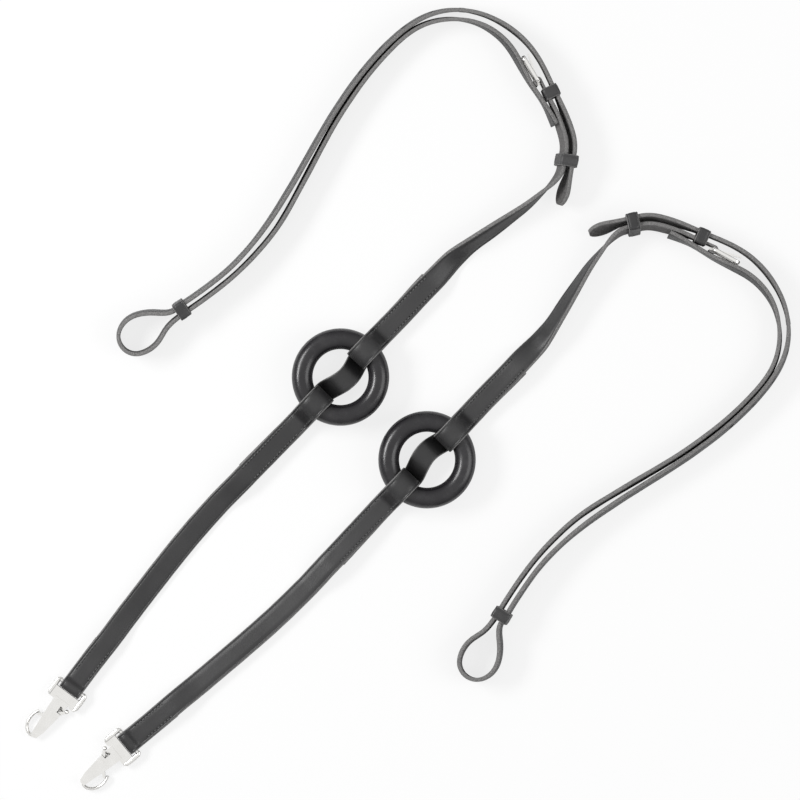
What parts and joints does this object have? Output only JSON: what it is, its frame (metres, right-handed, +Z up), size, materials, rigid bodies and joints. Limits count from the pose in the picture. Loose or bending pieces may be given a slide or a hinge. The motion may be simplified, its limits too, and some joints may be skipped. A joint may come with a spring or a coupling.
{
  "type": "side rein pair",
  "caption": "Pair of black leather side reins, each with a rubber doughnut ring, an adjusting buckle, a girth loop and a spring snap hook.",
  "frame": {"origin": "middle of the pair's footprint, on the surface that it lies on", "axes": "+Y from the snap hooks towards the buckles, X = 0 the mirror plane between the two reins, +Z up from the surface"},
  "size_m": [0.4236, 0.6896, 0.0284],
  "materials": {
    "black_leather": "waxed bridle leather, fine grain",
    "black_rubber": "smooth moulded, semi-gloss",
    "nickel": "polished nickel plate",
    "spring_steel": "bright drawn wire"
  },
  "bodies": {
    "left_rein": {"left_ring_strap": "black_leather", "left_billet_strap": "black_leather", "left_safety_strap": "black_leather", "left_buckle_frame": "nickel", "left_fixed_keeper": "black_leather"},
    "left_ring": {"left_rubber_ring": "black_rubber"},
    "left_bit_end": {"left_bit_strap": "black_leather"},
    "left_snap": {"left_snap_body": "nickel", "left_snap_pin": "nickel", "left_snap_spring": "spring_steel"},
    "left_gate": {"left_snap_gate": "nickel"},
    "left_tongue": {"left_buckle_tongue": "nickel"},
    "left_tip_loop": {"left_tip_keeper": "black_leather"},
    "left_girth_keeper": {"left_loop_keeper": "black_leather"},
    "right_rein": {"right_ring_strap": "black_leather", "right_billet_strap": "black_leather", "right_safety_strap": "black_leather", "right_buckle_frame": "nickel", "right_fixed_keeper": "black_leather"},
    "right_ring": {"right_rubber_ring": "black_rubber"},
    "right_bit_end": {"right_bit_strap": "black_leather"},
    "right_snap": {"right_snap_body": "nickel", "right_snap_pin": "nickel", "right_snap_spring": "spring_steel"},
    "right_gate": {"right_snap_gate": "nickel"},
    "right_tongue": {"right_buckle_tongue": "nickel"},
    "right_tip_loop": {"right_tip_keeper": "black_leather"},
    "right_girth_keeper": {"right_loop_keeper": "black_leather"}
  },
  "joints": [
    {"name": "left_ring_spin", "type": "hinge", "parent": "left_rein", "child": "left_ring", "pos_m": [-0.0486, 0.0421, 0.01544], "axis": [0, 0, 1], "continuous": true},
    {"name": "left_bit_fold", "type": "hinge", "parent": "left_rein", "child": "left_bit_end", "pos_m": [-0.0486, 0.01199, 0.01544], "axis": [-1, 0, 0], "range_deg": [0, 70], "deforming": ["left_safety_strap"]},
    {"name": "left_snap_swing", "type": "hinge", "parent": "left_bit_end", "child": "left_snap", "pos_m": [-0.032, -0.2919, 0.00505], "axis": [-0.9925, -0.1219, 0], "range_deg": [-90, 110]},
    {"name": "left_gate_open", "type": "hinge", "parent": "left_snap", "child": "left_gate", "pos_m": [-0.02734, -0.3192, 0.00369], "axis": [0.006, -0.0486, 0.9988], "range_deg": [0, 22], "stiffness_Nm_per_rad": 0.03, "springref_deg": -8.59, "deforming": ["left_snap_spring"]},
    {"name": "left_tongue_swing", "type": "hinge", "parent": "left_rein", "child": "left_tongue", "pos_m": [-0.0988, 0.3261, 0.013], "axis": [0, 0, 1], "range_deg": [-4.5, 5.5]},
    {"name": "left_tip_keeper_slide", "type": "slide", "parent": "left_rein", "child": "left_tip_loop", "axis": [-0.5592, 0.829, 0], "range_m": [-0.003, 0.003]},
    {"name": "left_loop_keeper_slide", "type": "slide", "parent": "left_rein", "child": "left_girth_keeper", "axis": [0.1874, 0.9823, 0], "range_m": [0, 0.014]},
    {"name": "pair_apart", "type": "slide", "parent": "left_rein", "child": "right_rein", "axis": [1, 0, 0], "range_m": [0, 0.12]},
    {"name": "right_ring_spin", "type": "hinge", "parent": "right_rein", "child": "right_ring", "pos_m": [0.0486, 0.0421, 0.01544], "axis": [0, 0, 1], "continuous": true},
    {"name": "right_bit_fold", "type": "hinge", "parent": "right_rein", "child": "right_bit_end", "pos_m": [0.0486, 0.01199, 0.01544], "axis": [-1, 0, 0], "range_deg": [0, 70], "deforming": ["right_safety_strap"]},
    {"name": "right_snap_swing", "type": "hinge", "parent": "right_bit_end", "child": "right_snap", "pos_m": [0.032, -0.2919, 0.00505], "axis": [-0.9925, 0.1219, 0], "range_deg": [-90, 110]},
    {"name": "right_gate_open", "type": "hinge", "parent": "right_snap", "child": "right_gate", "pos_m": [0.02734, -0.3192, 0.00369], "axis": [0.006, 0.0486, -0.9988], "range_deg": [0, 22], "stiffness_Nm_per_rad": 0.03, "springref_deg": -8.59, "deforming": ["right_snap_spring"]},
    {"name": "right_tongue_swing", "type": "hinge", "parent": "right_rein", "child": "right_tongue", "pos_m": [0.0988, 0.3261, 0.013], "axis": [0, 0, -1], "range_deg": [-4.5, 5.5]},
    {"name": "right_tip_keeper_slide", "type": "slide", "parent": "right_rein", "child": "right_tip_loop", "axis": [0.5592, 0.829, 0], "range_m": [-0.003, 0.003]},
    {"name": "right_loop_keeper_slide", "type": "slide", "parent": "right_rein", "child": "right_girth_keeper", "axis": [-0.1874, 0.9823, 0], "range_m": [0, 0.014]}
  ]
}
